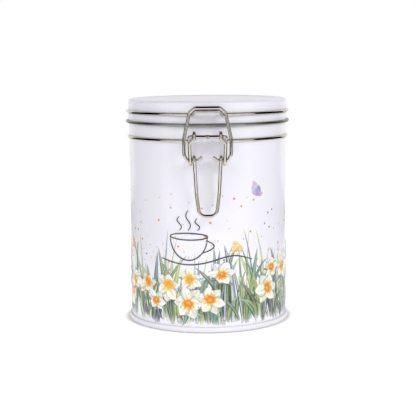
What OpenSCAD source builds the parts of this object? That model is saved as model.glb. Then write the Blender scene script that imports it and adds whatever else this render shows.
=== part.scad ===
// Clip-top storage tin: a round tinplate canister with a hinged slip lid,
// held shut by a bent-wire lever latch. Millimetres, +Z up, front towards -Y,
// origin on the tin's axis at the level of the surface it stands on.

/* [Tin] */
// Overall height, from the standing rim to the top of the lid
tin_h = 150; // [140:1:180]
// Outer diameter of the body wall
body_d = 106.6; // [102:0.2:112]
// Thickness of the tinplate
sheet_t = 0.35; // [0.3:0.05:0.4]

/* [Base] */
// Height of the seam that joins the base to the wall
seam_h = 3.4; // [3:0.1:4]
// How far the seam stands out from the wall
seam_out = 1.35; // [1.3:0.05:1.5]
// Height of the recessed base panel above the standing surface
base_lift = 3.2; // [3:0.1:4]

/* [Lid] */
// Outer diameter of the lid's skirt
lid_d = 107.4; // [107.2:0.1:108]
// From the lid's top to the middle of the rolled edge of its skirt
skirt_h = 15.03; // [14.5:0.1:15.5]
// Depth of the shallow step in the lid's top
panel_step = 0.4; // [0.2:0.1:0.5]
// Radius of the stepped panel
panel_r = 45; // [40:1:46]

/* [Wire] */
// Diameter of the wire
wire_d = 2.2; // [2:0.1:2.3]
// From the lid's top down to the lid wire
lid_wire_drop = 8.38; // [8:0.1:9]
// From the lid's top down to the body wire
body_wire_drop = 25.26; // [25:0.1:26]
// Radius of every eye and coil, at the middle of the wire
eye_r = 2.5; // [2.4:0.1:2.6]

/* [Latch] */
// From the lid's top down to the bar that the lever turns on
lever_drop = 21.9; // [21.5:0.1:22.5]
// Length of the lever between its bar and the coils that hold the bail
link_len = 15.25; // [15:0.05:16]
// Distance from the bail's pins to its top bar
bail_len = 33.4; // [33:0.1:34]
// Half width of the bail at its widest
bail_half_w = 15.1; // [15:0.1:16]
// Length of the lever's handle below the coils
handle_len = 34.3; // [30:0.1:38]

/* [Hidden] */
$fn = 96;
wire_sides = 12;       // facets around a wire
bend_step = 15;        // degrees between the rings of a bend
ring_step = 4;         // and of a wire's large ring
butt_gap = 0.04;       // half the gap where the body wire's ends butt
gap = 0.05;            // clearance between fitted pieces
groove_gap = 0.06;     // and between a ring and its groove
side_start = [0.3, 0.5, 0.8]; // any direction that no wire sets out in
wire_r = wire_d / 2;
half_t = sheet_t / 2;

// Sheet metal
neck_in = 1.2;         // how far the body necks in under the lid
shoulder_drop = 1.15;  // from the lid's rolled edge down to where it does
rim_drop = 2.5;        // from the lid's top down to the body's rim
sheet_bend = 0.55;     // usual bend in the sheet, at its middle line

// How far each run of wire stands out from the sheet it is on
lid_ring_out = 0.66;   // the lid's ring, from the skirt
body_ring_out = 0.31;  // the body's ring, from the wall
hinge_out = 7.47;      // the hinge bar, from the wall
hinge_rise = 1.43;     // and above the lid's rolled edge
lever_out = 7.5;       // the lever's bar, from the wall
catch_out = 5.3;       // the catch bar, from the skirt
catch_drop = 5.9;      // and below the lid's top
bail_clear = 0.12;     // air between the catch bar and the bail in front of it
bail_over = 2.2;       // how much higher the bail's top bar lies

// Radii of the sheet's middle line
body_mid_r = body_d / 2 - half_t;
neck_mid_r = body_mid_r - neck_in;
skirt_mid_r = lid_d / 2 - half_t;

// Levels
lid_wire_z = tin_h - lid_wire_drop;
body_wire_z = tin_h - body_wire_drop;
curl_z = tin_h - skirt_h;
shoulder_z = curl_z - shoulder_drop;
rim_z = tin_h - rim_drop;

// Rings of wire, at the middle of the wire
lid_ring_r = lid_d / 2 + lid_ring_out;
body_ring_r = body_d / 2 + body_ring_out;
groove_r = wire_r + groove_gap + half_t;   // sheet's middle line round a wire

// Pivots, as [y, z]
hinge_at = [body_d / 2 + hinge_out, curl_z + hinge_rise];
lever_at = [-(body_d / 2 + lever_out), tin_h - lever_drop];
link_tilt = 7.9;                 // the lever leans out at the top
coil_at = lever_at + link_len * [sin(link_tilt), -cos(link_tilt)];
catch_at = [-(lid_d / 2 + catch_out), tin_h - catch_drop];
bail_top_at = catch_at + [-wire_d - bail_clear, bail_over];

// ---- Sheet metal -------------------------------------------------------

function unit(v) = v / norm(v);
function left_of(v) = [-v.y, v.x];

// Points along an arc from angle a0 to a1
function arc(c, r, a0, a1, n) =
    [for (i = [0:n]) let(a = a0 + (a1 - a0) * i / n) c + r * [cos(a), sin(a)]];

// Offset of one point of a path to its left, mitred
function beside(path, i, d) =
    let(last = len(path) - 1,
        a = unit(path[max(i, 1)] - path[max(i, 1) - 1]),
        b = unit(path[min(i + 1, last)] - path[min(i + 1, last) - 1]),
        n = unit(left_of(a) + left_of(b)))
    path[i] + n * d / (n * left_of(a));

// A strip of sheet along its middle line
function strip(path, t) =
    let(last = len(path) - 1)
    concat([for (i = [0:last]) beside(path, i, t / 2)],
           [for (i = [last:-1:0]) beside(path, i, -t / 2)]);

module spun_sheet(path) {
    rotate_extrude() polygon(strip(path, sheet_t));
}

// Half height of a groove in a sheet at radius sheet_r round a ring of wire
function groove_half(ring_r, sheet_r) = sqrt(pow(groove_r, 2) - pow(ring_r - sheet_r, 2));

// A groove for a ring of wire, from the bottom up
function groove(ring_r, sheet_r, z) =
    let(a = atan2(groove_half(ring_r, sheet_r), sheet_r - ring_r))
    arc([ring_r, z], groove_r, 360 - a, a, 12);

// ---- Wire --------------------------------------------------------------

// A wire is one sweep of a round outline along the points of its route.
// A route is drawn as straight runs whose corners are rounded with bend radii.

// Points round a circle about c, where x and y are the circle's own axes
function circle_arc(c, x, y, r, a0, a1, step) =
    let(n = ceil(abs(a1 - a0) / step))
    [for (i = [0:n]) let(a = a0 + (a1 - a0) * i / n) c + r * (cos(a) * x + sin(a) * y)];

// The bend of radius r that rounds corner p between the directions d and e
function bend(p, d, e, r) =
    let(turn = acos(d * e), in = unit(e - d * (d * e)))
    circle_arc(p - d * r * tan(turn / 2) + in * r, -in, d, r, 0, turn, bend_step);

// A route through the points p, with bend radii r at the points between the ends
function rounded(p, r) = concat(
    [p[0]],
    [for (i = [1:len(p) - 2])
        each bend(p[i], unit(p[i] - p[i - 1]), unit(p[i + 1] - p[i]), r[i - 1])],
    [p[len(p) - 1]]);

// Part of a level ring, between angles a0 and a1
function ring_arc(r, z, a0, a1) = circle_arc([0, 0, z], [1, 0, 0], [0, 1, 0], r, a0, a1, ring_step);

// Part of an eye round an X axis at [y, z]
function eye_arc(x, at, a0, a1) =
    circle_arc([x, at.x, at.y], [0, 1, 0], [0, 0, 1], eye_r, a0, a1, bend_step);

// Drops points that repeat the one before
function no_repeats(p) = [for (i = [0:len(p) - 1]) if (i == 0 || norm(p[i] - p[i - 1]) > 0.01) p[i]];

// Direction of a route at its point i
function heading(p, i) = unit(p[min(i + 1, len(p) - 1)] - p[max(i - 1, 0)]);

// A vector carried along a route, kept square to it and never twisted
function square_to(v, d) = unit(v - d * (v * d));
function carried(p, start) =
    [for (i = 0, v = square_to(start, heading(p, 0)); i < len(p);
          i = i + 1, v = square_to(v, heading(p, min(i, len(p) - 1)))) v];

module sweep(route) {
    p = no_repeats(route);
    side = carried(p, side_start);
    last = len(p) - 1;
    points = [for (i = [0:last]) each
        let(x = side[i], y = cross(heading(p, i), x))
        [for (k = [0:wire_sides - 1]) let(a = 360 * k / wire_sides) p[i] + wire_r * (cos(a) * x + sin(a) * y)]];
    walls = [for (i = [0:last - 1], k = [0:wire_sides - 1])
        let(next = (k + 1) % wire_sides, at = i * wire_sides)
        [at + k, at + wire_sides + k, at + wire_sides + next, at + next]];
    start_cap = [for (k = [0:wire_sides - 1]) k];
    end_cap = [for (k = [wire_sides - 1:-1:0]) last * wire_sides + k];
    polyhedron(points, concat(walls, [start_cap, end_cap]));
}

// Point on a ring where |x| is given; side is -1 at the front and 1 at the back
function on_ring(r, x, side) = [x, side * sqrt(r * r - x * x)];

// Where the tangent at on_ring(r, x, side) reaches x = to
function off_ring(r, x, to, side) =
    let(p = on_ring(r, x, side)) [to, p.y + (x - to) * x / abs(p.y) * side];

function at_z(p, z) = [p.x, p.y, z];
function mirrored(p) = [for (q = p) [-q.x, q.y, q.z]];
function reversed(p) = [for (i = [len(p) - 1:-1:0]) p[i]];

// A whole route from its right half, given from one end to the middle
function both_halves(p) = concat(p, reversed(mirrored(p)));

// ---- Body --------------------------------------------------------------

hook_gap = 0.75;       // from the wall to its turned-up hook in the seam
hook_top_z = 2.5;
hook_bend_z = 0.95;
rim_roll_r = 0.62;     // roll of the body's rim

module body_shell() {
    path = concat(
        [[body_mid_r + hook_gap, hook_top_z]],
        arc([body_mid_r + hook_gap / 2, hook_bend_z], hook_gap / 2, 0, -180, 8),
        groove(body_ring_r, body_mid_r, body_wire_z),
        arc([body_mid_r - sheet_bend, shoulder_z], sheet_bend, 0, 90, 6),
        arc([neck_mid_r + sheet_bend, shoulder_z + 2 * sheet_bend], sheet_bend, 270, 180, 6),
        arc([neck_mid_r - rim_roll_r, rim_z - rim_roll_r - half_t], rim_roll_r, 0, 290, 18));
    color("white") spun_sheet(path);
}

module base_plate() {
    inner = body_mid_r - sheet_t - gap;      // chuck wall, inside the body wall
    outer = body_d / 2 + seam_out - half_t;  // outside of the seam
    corner = 0.5;
    panel_turn = 1;
    path = concat(
        [[0, base_lift - half_t]],
        arc([inner - panel_turn, base_lift - half_t - panel_turn], panel_turn, 90, 0, 6),
        arc([inner + corner, half_t + corner], corner, 180, 270, 5),
        arc([outer - corner, half_t + corner], corner, 270, 360, 5),
        arc([outer - sheet_bend, seam_h - half_t - sheet_bend], sheet_bend, 0, 100, 6));
    color("white") spun_sheet(path);
}

// The body wire: a bar at the front for the lever, where its two ends butt in the middle,
// and a raised bar at the back for the lid's hinge
module body_wire() {
    front_x = 11.8;        // where the front bar ends
    front_foot_x = 11.5;   // where its legs meet the ring's level
    front_ring_x = 15;     // where they leave the ring
    back_x = 10;
    back_ring_x = 13.6;
    front = rounded([
        [butt_gap, lever_at.x, lever_at.y],
        [front_x, lever_at.x, lever_at.y],
        at_z(off_ring(body_ring_r, front_ring_x, front_foot_x, -1), body_wire_z),
        at_z(on_ring(body_ring_r, front_ring_x, -1), body_wire_z)], [1.9, 2]);
    ring = ring_arc(body_ring_r, body_wire_z,
                    asin(front_ring_x / body_ring_r) - 90, 90 - asin(back_ring_x / body_ring_r));
    back = rounded([
        at_z(on_ring(body_ring_r, back_ring_x, 1), body_wire_z),
        at_z(off_ring(body_ring_r, back_ring_x, back_x, 1), body_wire_z),
        [back_x, hinge_at.x, hinge_at.y],
        [0, hinge_at.x, hinge_at.y]], [2, 2]);
    color("silver") sweep(both_halves(concat(front, ring, back)));
}

// ---- Lid ---------------------------------------------------------------

module lid_shell() {
    edge_turn = 2;
    step_turn = 0.6;
    roll_r = 0.865;
    panel_z = tin_h - half_t - panel_step;
    step_a = acos(1 - panel_step / 2 / step_turn);
    step_w = step_turn * sin(step_a);
    path = concat(
        [[0, panel_z]],
        arc([panel_r, panel_z + step_turn], step_turn, 270, 270 + step_a, 4),
        arc([panel_r + 2 * step_w, tin_h - half_t - step_turn], step_turn, 90 + step_a, 90, 4),
        arc([skirt_mid_r - edge_turn, tin_h - half_t - edge_turn], edge_turn, 90, 0, 10),
        reversed(groove(lid_ring_r, skirt_mid_r, lid_wire_z)),
        arc([skirt_mid_r + roll_r, curl_z], roll_r, 180, 510, 24));
    color("white") spun_sheet(path);
}

// The carrier's middle line
carrier_z = tin_h - 0.98;         // flange
carrier_pan_z = rim_z + 0.4;      // panel
carrier_r = 48.2;                 // wall
carrier_end_r = skirt_mid_r - 1.25;

// The pressed plate under the lid's top that holds the seal
module seal_carrier() {
    turn = 0.45;
    path = concat(
        [[0, carrier_pan_z]],
        arc([carrier_r - turn, carrier_pan_z + turn], turn, 270, 360, 5),
        arc([carrier_r + turn, carrier_z - turn], turn, 180, 90, 5),
        [[carrier_end_r, carrier_z]]);
    color("gainsboro") spun_sheet(path);
}

// The soft ring that the body's rim presses on
module seal_ring() {
    side_gap = 0.3;        // from the carrier's wall
    rim_gap = 0.1;         // from the body's rim
    inner = carrier_r + half_t + side_gap;
    outer = carrier_end_r + 0.2;
    low = rim_z + rim_gap;
    high = carrier_z - half_t - gap;
    lip = 0.35;            // rounding of its lower edges
    color("whitesmoke") rotate_extrude() polygon(concat(
        arc([outer - lip, low + lip], lip, 270, 360, 4),
        [[outer, high], [inner, high]],
        arc([inner + lip, low + lip], lip, 180, 270, 4)));
}

// The lid wire: a catch bar at the front, and an eye at each end round the hinge bar
module lid_wire() {
    catch_x = 8.2;
    foot_x = 9.4;
    front_ring_x = 13;
    eye_x = 6.2;
    back_ring_x = 9.6;
    wrap = 285;
    knee = at_z(off_ring(lid_ring_r, back_ring_x, eye_x, 1), lid_wire_z);
    // The leg runs from the knee to touch the top of the eye's circle
    to_hinge = hinge_at - [knee.y, knee.z];
    slope = atan2(to_hinge.y, to_hinge.x) + asin(eye_r / norm(to_hinge));
    leg_end = knee + sqrt(to_hinge * to_hinge - eye_r * eye_r) * [0, cos(slope), sin(slope)];
    back = rounded([leg_end, knee, at_z(on_ring(lid_ring_r, back_ring_x, 1), lid_wire_z)], [2]);
    ring = ring_arc(lid_ring_r, lid_wire_z,
                    90 - asin(back_ring_x / lid_ring_r), asin(front_ring_x / lid_ring_r) - 90);
    front = rounded([
        at_z(on_ring(lid_ring_r, front_ring_x, -1), lid_wire_z),
        at_z(off_ring(lid_ring_r, front_ring_x, foot_x, -1), lid_wire_z),
        [catch_x, catch_at.x, catch_at.y],
        [0, catch_at.x, catch_at.y]], [2, 2]);
    eye = eye_arc(eye_x, hinge_at, slope + 90 - wrap, slope + 90);
    color("silver") sweep(both_halves(concat(eye, back, ring, front)));
}

// ---- Latch -------------------------------------------------------------

// The lever is drawn with its coils on the X axis and its eyes straight above them,
// front towards -Y, then leant out and moved into place
module latch_lever() {
    eye_x = 8.4;
    eye_tail = 0.85;       // straight run below an eye
    arm_x = 11.4;
    arm_drop = 3.8;        // how far below its eye the arm has stepped out
    outer_x = 10.9;        // the coil's two turns
    inner_x = 8.5;
    kink_x = 7.2;
    kink_down = 21.6;
    tip_x = 5.4;
    tip_out = 8.4;
    half = [[eye_x, -eye_r, link_len],
            [eye_x, -eye_r, link_len - eye_tail],
            [arm_x, -eye_r, link_len - arm_drop],
            [outer_x, -eye_r, -eye_r],
            [outer_x, eye_r, -eye_r],
            [inner_x, eye_r, eye_r],
            [inner_x, -eye_r, eye_r],
            [kink_x, -eye_r, -kink_down],
            [tip_x, -tip_out, -handle_len],
            [0, -tip_out, -handle_len]];
    bends = [1.6, 1.6, eye_r, eye_r, eye_r, eye_r, 5, 4.6];
    wrap = 230;
    eye = eye_arc(eye_x, [0, link_len], 180 - wrap, 180);
    color("silver")
        translate([0, coil_at.x, coil_at.y]) rotate([link_tilt, 0, 0])
            sweep(both_halves(concat(eye, rounded(half, bends))));
}

// The bail, drawn standing on the X axis with its pins on that axis
module latch_bail() {
    tail_x = 3.2;          // the pins' bent-up tails
    tail_rise = 2.1;
    tail_foot_x = 6.2;
    pin_x = 12.9;
    foot_x = 14.9;
    foot_rise = 3.6;
    widest_rise = 13.1;
    shoulder_x = 11.3;
    shoulder_down = 2.9;   // below the top bar
    top_x = 7.9;
    half = [[tail_x, 0, tail_rise],
            [tail_foot_x, 0, 0],
            [pin_x, 0, 0],
            [foot_x, 0, foot_rise],
            [bail_half_w, 0, widest_rise],
            [shoulder_x, 0, bail_len - shoulder_down],
            [top_x, 0, bail_len],
            [0, 0, bail_len]];
    bends = [2, 2.2, 6, 14, 3, 2.6];
    lean = bail_top_at - coil_at;
    color("silver")
        translate([0, coil_at.x, coil_at.y]) rotate([atan2(-lean.x, lean.y), 0, 0])
            sweep(both_halves(rounded(half, bends)));
}

body_shell();
base_plate();
body_wire();
lid_shell();
seal_carrier();
seal_ring();
lid_wire();
latch_lever();
latch_bail();
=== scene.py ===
"""Looks of a clip-top storage tin: enamelled tinplate, a painted meadow round its wall, and a wire latch."""

import math
import random

import bpy
import numpy as np
from mathutils import Matrix, Vector


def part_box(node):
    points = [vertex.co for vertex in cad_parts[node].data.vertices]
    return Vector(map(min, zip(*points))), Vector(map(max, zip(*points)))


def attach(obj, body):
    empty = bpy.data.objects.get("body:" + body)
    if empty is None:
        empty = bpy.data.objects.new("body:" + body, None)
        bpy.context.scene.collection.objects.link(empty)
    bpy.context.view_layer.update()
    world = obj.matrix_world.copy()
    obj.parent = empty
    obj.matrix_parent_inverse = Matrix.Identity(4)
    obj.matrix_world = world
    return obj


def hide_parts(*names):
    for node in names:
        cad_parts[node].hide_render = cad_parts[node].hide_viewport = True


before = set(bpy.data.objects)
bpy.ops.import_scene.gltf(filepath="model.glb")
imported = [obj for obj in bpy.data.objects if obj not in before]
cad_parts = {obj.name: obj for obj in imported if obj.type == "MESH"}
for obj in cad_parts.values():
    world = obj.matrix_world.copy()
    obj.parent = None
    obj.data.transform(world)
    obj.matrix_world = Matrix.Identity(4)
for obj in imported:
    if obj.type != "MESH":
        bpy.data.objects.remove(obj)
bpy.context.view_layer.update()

MM = 0.001


def node_top(node):
    """A CAD node's highest corner, in millimetres."""
    _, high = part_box(node)
    return Vector(high) / MM


# ---- Driving dimensions, millimetres -------------------------------------

TIN_H = node_top("lid_shell").z        # overall height
SHEET = 0.35                           # thickness of the tinplate
HALF = SHEET / 2
WIRE = 2.2                             # diameter of the wire
WALL_R = 53.3                          # outside of the body wall
SKIRT_R = 53.7                         # outside of the lid's skirt
LID_WIRE_Z = TIN_H - 8.38
BODY_WIRE_Z = TIN_H - 25.26
LID_RING_R = SKIRT_R + 0.66            # middle of each ring's wire
BODY_RING_R = WALL_R + 0.31
GROOVE_R = WIRE / 2 + 0.06 + HALF      # sheet's middle line round a wire
CURL_Z = TIN_H - 15.03                 # rolled edge of the lid
SHOULDER_Z = CURL_Z - 1.15             # where the wall necks in
RIM_Z = node_top("body_shell").z       # top of the body's rim
SEAM_R, _, SEAM_H = node_top("base_plate")  # outside and height of the base seam
BASE_LIFT = 3.2                        # recessed base panel above the table
EYE_R = 2.5                            # eyes and coils, at the middle of the wire

HINGE_OUT, HINGE_RISE = 7.47, 1.43     # from the wall, and above the lid's rolled edge
LEVER_OUT, LEVER_DROP = 7.5, 21.9      # from the wall, and below the lid's top
CATCH_OUT, CATCH_DROP = 5.3, 5.9       # from the skirt, and below the lid's top
BAIL_CLEAR, BAIL_OVER = 0.12, 2.2      # bail's top bar in front of the catch bar, and above it
LINK = 15.25                           # lever's bar to its coils
LINK_TILT = math.radians(7.9)
BAIL_LEN = 33.4                        # coils to the bail's top bar
HANDLE_LEN = 34.3                      # coils to the handle's tip

# [y, z] of each bar
HINGE = (WALL_R + HINGE_OUT, CURL_Z + HINGE_RISE)
LEVER_BAR = (-(WALL_R + LEVER_OUT), TIN_H - LEVER_DROP)
COIL = (LEVER_BAR[0] + LINK * math.sin(LINK_TILT), LEVER_BAR[1] - LINK * math.cos(LINK_TILT))
CATCH = (-(SKIRT_R + CATCH_OUT), TIN_H - CATCH_DROP)
BAIL_TOP = (CATCH[0] - WIRE - BAIL_CLEAR, CATCH[1] + BAIL_OVER)


# ---- Materials ------------------------------------------------------------

def new_material(name):
    """A material, its node tree and its shader."""
    material = bpy.data.materials.new(name)
    material.use_nodes = True
    tree = material.node_tree
    return material, tree, tree.nodes["Principled BSDF"]


def add_node(tree, kind, **values):
    """A node with its properties and unlinked inputs set by name."""
    node = tree.nodes.new(kind)
    for key, value in values.items():
        if key in node.inputs:
            node.inputs[key].default_value = value
        else:
            setattr(node, key, value)
    return node


def join(tree, *links):
    """Links given as (node, output, node, input), each socket by name or number."""
    for source, output, target, socket in links:
        tree.links.new(source.outputs[output], target.inputs[socket])


def noise(tree, scale, detail=2.0, roughness=0.5, stretch=(1, 1, 1)):
    """Noise on the piece's own Object coordinates; its Fac output."""
    place = add_node(tree, "ShaderNodeTexCoord")
    mapping = add_node(tree, "ShaderNodeMapping", Scale=stretch)
    texture = add_node(tree, "ShaderNodeTexNoise", Scale=scale, Detail=detail, Roughness=roughness)
    join(tree, (place, "Object", mapping, "Vector"), (mapping, "Vector", texture, "Vector"))
    return texture.outputs["Fac"]


def ramp(tree, fac, stops):
    """A colour ramp through (position, colour) stops; its Color output."""
    node = add_node(tree, "ShaderNodeValToRGB")
    elements = node.color_ramp.elements
    while len(elements) < len(stops):
        elements.new(0.5)
    for element, (position, colour) in zip(elements, stops):
        element.position = position
        element.color = (*colour, 1)
    tree.links.new(fac, node.inputs["Fac"])
    return node.outputs["Color"]


def grey(value):
    return (value, value, value)


def bump(tree, shader, height, strength, distance):
    """Relief on a shader from a height, with the distance in metres."""
    node = add_node(tree, "ShaderNodeBump", Strength=strength, Distance=distance)
    tree.links.new(height, node.inputs["Height"])
    tree.links.new(node.outputs["Normal"], shader.inputs["Normal"])


def surface(name, tones, tone_noise, gloss, gloss_noise, relief=None, sockets=None):
    """A material whose colour and roughness wander through (position, value) stops.

    Each noise is what noise() takes after the tree, relief is (noise, strength, distance), and
    sockets sets other values on the shader by name.
    """
    material, tree, shader = new_material(name)
    tree.links.new(ramp(tree, noise(tree, *tone_noise), tones), shader.inputs["Base Color"])
    stops = [(position, grey(value)) for position, value in gloss]
    tree.links.new(ramp(tree, noise(tree, *gloss_noise), stops), shader.inputs["Roughness"])
    if relief:
        relief_noise, strength, distance = relief
        bump(tree, shader, noise(tree, *relief_noise), strength, distance)
    for socket, value in (sockets or {}).items():
        shader.inputs[socket].default_value = value
    return material


def enamel():
    """Stoved white enamel with a faint orange peel."""
    return surface("stoved_enamel", [(0.3, (0.845, 0.837, 0.890)), (0.7, (0.865, 0.857, 0.905))], (18, 1),
                   ((0.3, 0.29), (0.7, 0.34)), (60, 2), ((420, 1), 0.05, 0.00008),
                   {"Coat Weight": 0.25, "Coat Roughness": 0.12})


def tinplate():
    """Bare tinplate, drawn round in the rolling, duller than the wire."""
    return surface("bare_tinplate", [(0.3, (0.25, 0.25, 0.235)), (0.7, (0.40, 0.40, 0.38))], (120, 4),
                   ((0.3, 0.28), (0.7, 0.42)), (260, 4, 0.5, (1, 1, 9)),
                   ((1500, 2, 0.5, (1, 1, 6)), 0.2, 0.00003), {"Metallic": 1})


def lacquered_inside():
    """Inside of the tin: tinplate under a clear food lacquer."""
    return surface("lacquered_tinplate", [(0.3, (0.58, 0.57, 0.54)), (0.7, (0.70, 0.69, 0.66))], (70, 5),
                   ((0.3, 0.3), (0.7, 0.4)), (420, 3, 0.5, (1, 1, 0.15)),
                   sockets={"Metallic": 1, "Coat Weight": 0.4})


def plated_wire():
    """Nickel-plated wire: warm and bright, with fine drawing lines."""
    return surface("plated_wire", [(0.3, (0.50, 0.465, 0.415)), (0.7, (0.60, 0.565, 0.51))], (240, 4),
                   ((0.3, 0.05), (0.75, 0.12)), (500, 3), ((2200, 2), 0.08, 0.00002), {"Metallic": 1})


def weld():
    """Heat-tinted, slightly rough metal of a small weld."""
    return surface("weld_metal", [(0.3, (0.25, 0.22, 0.19)), (0.7, (0.56, 0.52, 0.46))], (900, 4),
                   ((0.3, 0.25), (0.7, 0.5)), (1200, 3), ((1800, 3), 0.4, 0.0001), {"Metallic": 1})


def silicone():
    """Milky silicone of the seal."""
    return surface("milky_silicone", [(0.3, (0.70, 0.70, 0.67)), (0.7, (0.80, 0.80, 0.77))], (90, 3),
                   ((0.3, 0.45), (0.7, 0.6)), (300, 3), ((900, 3), 0.15, 0.0001),
                   {"Subsurface Weight": 0.15, "Subsurface Radius": (0.002, 0.002, 0.002)})


PAINT = "paint"


def transfer_print():
    """Watercolour print: each stroke's own colour, mottled as a wash dries."""
    material, tree, shader = new_material("transfer_print")
    own = add_node(tree, "ShaderNodeVertexColor", layer_name=PAINT)
    mottle = ramp(tree, noise(tree, 420, 5, 0.65), [(0.3, grey(0.78)), (0.7, grey(1.10))])
    mix = add_node(tree, "ShaderNodeMix", data_type="RGBA", blend_type="MULTIPLY")
    mix.inputs[0].default_value = 1
    tree.links.new(own.outputs["Color"], mix.inputs[6])
    tree.links.new(mottle, mix.inputs[7])
    tree.links.new(mix.outputs[2], shader.inputs["Base Color"])
    gloss = ramp(tree, noise(tree, 160, 2), [(0.3, grey(0.3)), (0.7, grey(0.38))])
    tree.links.new(gloss, shader.inputs["Roughness"])
    shader.inputs["Coat Weight"].default_value = 0.25
    shader.inputs["Coat Roughness"].default_value = 0.12
    return material


# ---- Mesh helpers ---------------------------------------------------------

def make_piece(name, vertices, faces, materials, slots=None, crease=math.radians(35)):
    """A smooth mesh object from points in millimetres, sharp where faces turn past crease."""
    mesh = bpy.data.meshes.new(name)
    mesh.from_pydata([Vector(v) * MM for v in vertices], [], faces)
    for material in materials:
        mesh.materials.append(material)
    if slots:
        mesh.polygons.foreach_set("material_index", slots)
    mesh.validate()
    mesh.shade_smooth()
    mesh.set_sharp_from_angle(angle=crease)
    piece = bpy.data.objects.new(name, mesh)
    bpy.context.scene.collection.objects.link(piece)
    return piece


def tube_faces(rows, turns, closed):
    """Faces between rings of turns points; closed joins the last ring to the first."""
    faces = []
    for i in range(rows if closed else rows - 1):
        a, b = i * turns, (i + 1) % rows * turns
        for k in range(turns):
            n = (k + 1) % turns
            faces.append((a + k, a + n, b + n, b + k))
    return faces


def arc(centre, radius, start, end, count):
    """Points [r, z] on an arc, angles in degrees."""
    angles = [math.radians(start + (end - start) * i / count) for i in range(count + 1)]
    return [(centre[0] + radius * math.cos(a), centre[1] + radius * math.sin(a)) for a in angles]


def thickened(path):
    """Both sides of a sheet along its middle line: left of the way it runs, then right."""
    points = [np.array(p) for i, p in enumerate(path) if i == 0 or math.dist(p, path[i - 1]) > 1e-6]
    left, right = [], []
    for i, point in enumerate(points):
        before = points[max(i, 1)] - points[max(i, 1) - 1]
        after = points[min(i + 1, len(points) - 1)] - points[min(i + 1, len(points) - 1) - 1]
        normals = [np.array([-d[1], d[0]]) / np.linalg.norm(d) for d in (before, after)]
        middle = (normals[0] + normals[1]) / np.linalg.norm(normals[0] + normals[1])
        offset = middle * HALF / (middle @ normals[0])
        left.append(point + offset)
        right.append(point - offset)
    return left, right


def spun_sheet(name, path, materials, slot_of, turns=192, lift=None):
    """A sheet turned round the tin's axis. slot_of(side, r, z) picks a material; lift(angle, z) raises it."""
    left, right = thickened(path)
    profile = [("left", p) for p in left] + [("right", p) for p in reversed(right)]
    vertices, faces, slots = [], [], []
    index = []
    for side, (r, z) in profile:
        if r < 1e-6:
            index.append([len(vertices)] * turns)
            vertices.append((0, 0, z))
            continue
        index.append(list(range(len(vertices), len(vertices) + turns)))
        for k in range(turns):
            angle = 2 * math.pi * k / turns
            out = r + (lift(angle, z) if lift else 0)
            vertices.append((out * math.cos(angle), out * math.sin(angle), z))
    for i in range(len(profile)):
        j = (i + 1) % len(profile)
        side, point = profile[i]
        following, ahead = profile[j]
        if point[0] < 1e-6 and ahead[0] < 1e-6:
            continue
        slot = slot_of(side if side == following else "edge",
                       (point[0] + ahead[0]) / 2, (point[1] + ahead[1]) / 2)
        for k in range(turns):
            n = (k + 1) % turns
            corners = [index[i][k], index[j][k], index[j][n], index[i][n]]
            corners = list(dict.fromkeys(corners))
            faces.append(corners)
            slots.append(slot)
    piece = make_piece(name, vertices, faces, materials, slots)
    face_out(piece)
    return piece


def face_out(piece):
    """Turns a closed mesh's faces outwards."""
    mesh = piece.data
    volume = 0
    for polygon in mesh.polygons:
        corners = [mesh.vertices[v].co for v in polygon.vertices]
        for i in range(1, len(corners) - 1):
            volume += corners[0].dot(corners[i].cross(corners[i + 1]))
    if volume < 0:
        mesh.flip_normals()


def groove(ring_r, sheet_r, z):
    """The sheet's way round a ring of wire, from the bottom up."""
    half = math.degrees(math.atan2(math.sqrt(GROOVE_R ** 2 - (ring_r - sheet_r) ** 2), sheet_r - ring_r))
    return arc((ring_r, z), GROOVE_R, 360 - half, half, 24)


# ---- Wire -----------------------------------------------------------------

BEND_STEP = math.radians(7)
RING_STEP = math.radians(2)
WIRE_SIDES = 18


def circle_arc(centre, x_axis, y_axis, radius, start, end, step):
    """Points on a circle in the plane of two axes, angles in radians."""
    count = max(1, math.ceil(abs(end - start) / step))
    points = []
    for i in range(count + 1):
        angle = start + (end - start) * i / count
        points.append(centre + radius * (math.cos(angle) * x_axis + math.sin(angle) * y_axis))
    return points


def rounded(corners, radii):
    """A route through corners, each rounded with its bend radius."""
    corners = [Vector(c) for c in corners]
    route = [corners[0]]
    for i, radius in enumerate(radii, start=1):
        before = (corners[i] - corners[i - 1]).normalized()
        after = (corners[i + 1] - corners[i]).normalized()
        turn = before.angle(after)
        inward = (after - before * before.dot(after)).normalized()
        centre = corners[i] - before * radius * math.tan(turn / 2) + inward * radius
        route += circle_arc(centre, -inward, before, radius, 0, turn, BEND_STEP)
    return route + [corners[-1]]


def ring_arc(radius, z, start, end):
    middle = Vector((0, 0, z))
    return circle_arc(middle, Vector((1, 0, 0)), Vector((0, 1, 0)), radius, start, end, RING_STEP)


def eye_arc(x, centre, start, end):
    middle = Vector((x, *centre))
    return circle_arc(middle, Vector((0, 1, 0)), Vector((0, 0, 1)), EYE_R, start, end, BEND_STEP)


def both_halves(route):
    """A route followed by its mirror image across x = 0, back to where it began."""
    return route + [Vector((-p.x, p.y, p.z)) for p in reversed(route)]


def moved(route, centre, tilt):
    """A route drawn about the X axis, leant back by tilt and moved to [y, z] centre."""
    turn = Matrix.Rotation(tilt, 3, "X")
    return [turn @ p + Vector((0, *centre)) for p in route]


def on_ring(radius, x, side, z):
    return Vector((x, side * math.sqrt(radius ** 2 - x ** 2), z))


def off_ring(radius, x, to, side, z):
    """Where the tangent at on_ring reaches x = to."""
    y = side * math.sqrt(radius ** 2 - x ** 2)
    return Vector((to, y + (x - to) * x / abs(y) * side, z))


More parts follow.
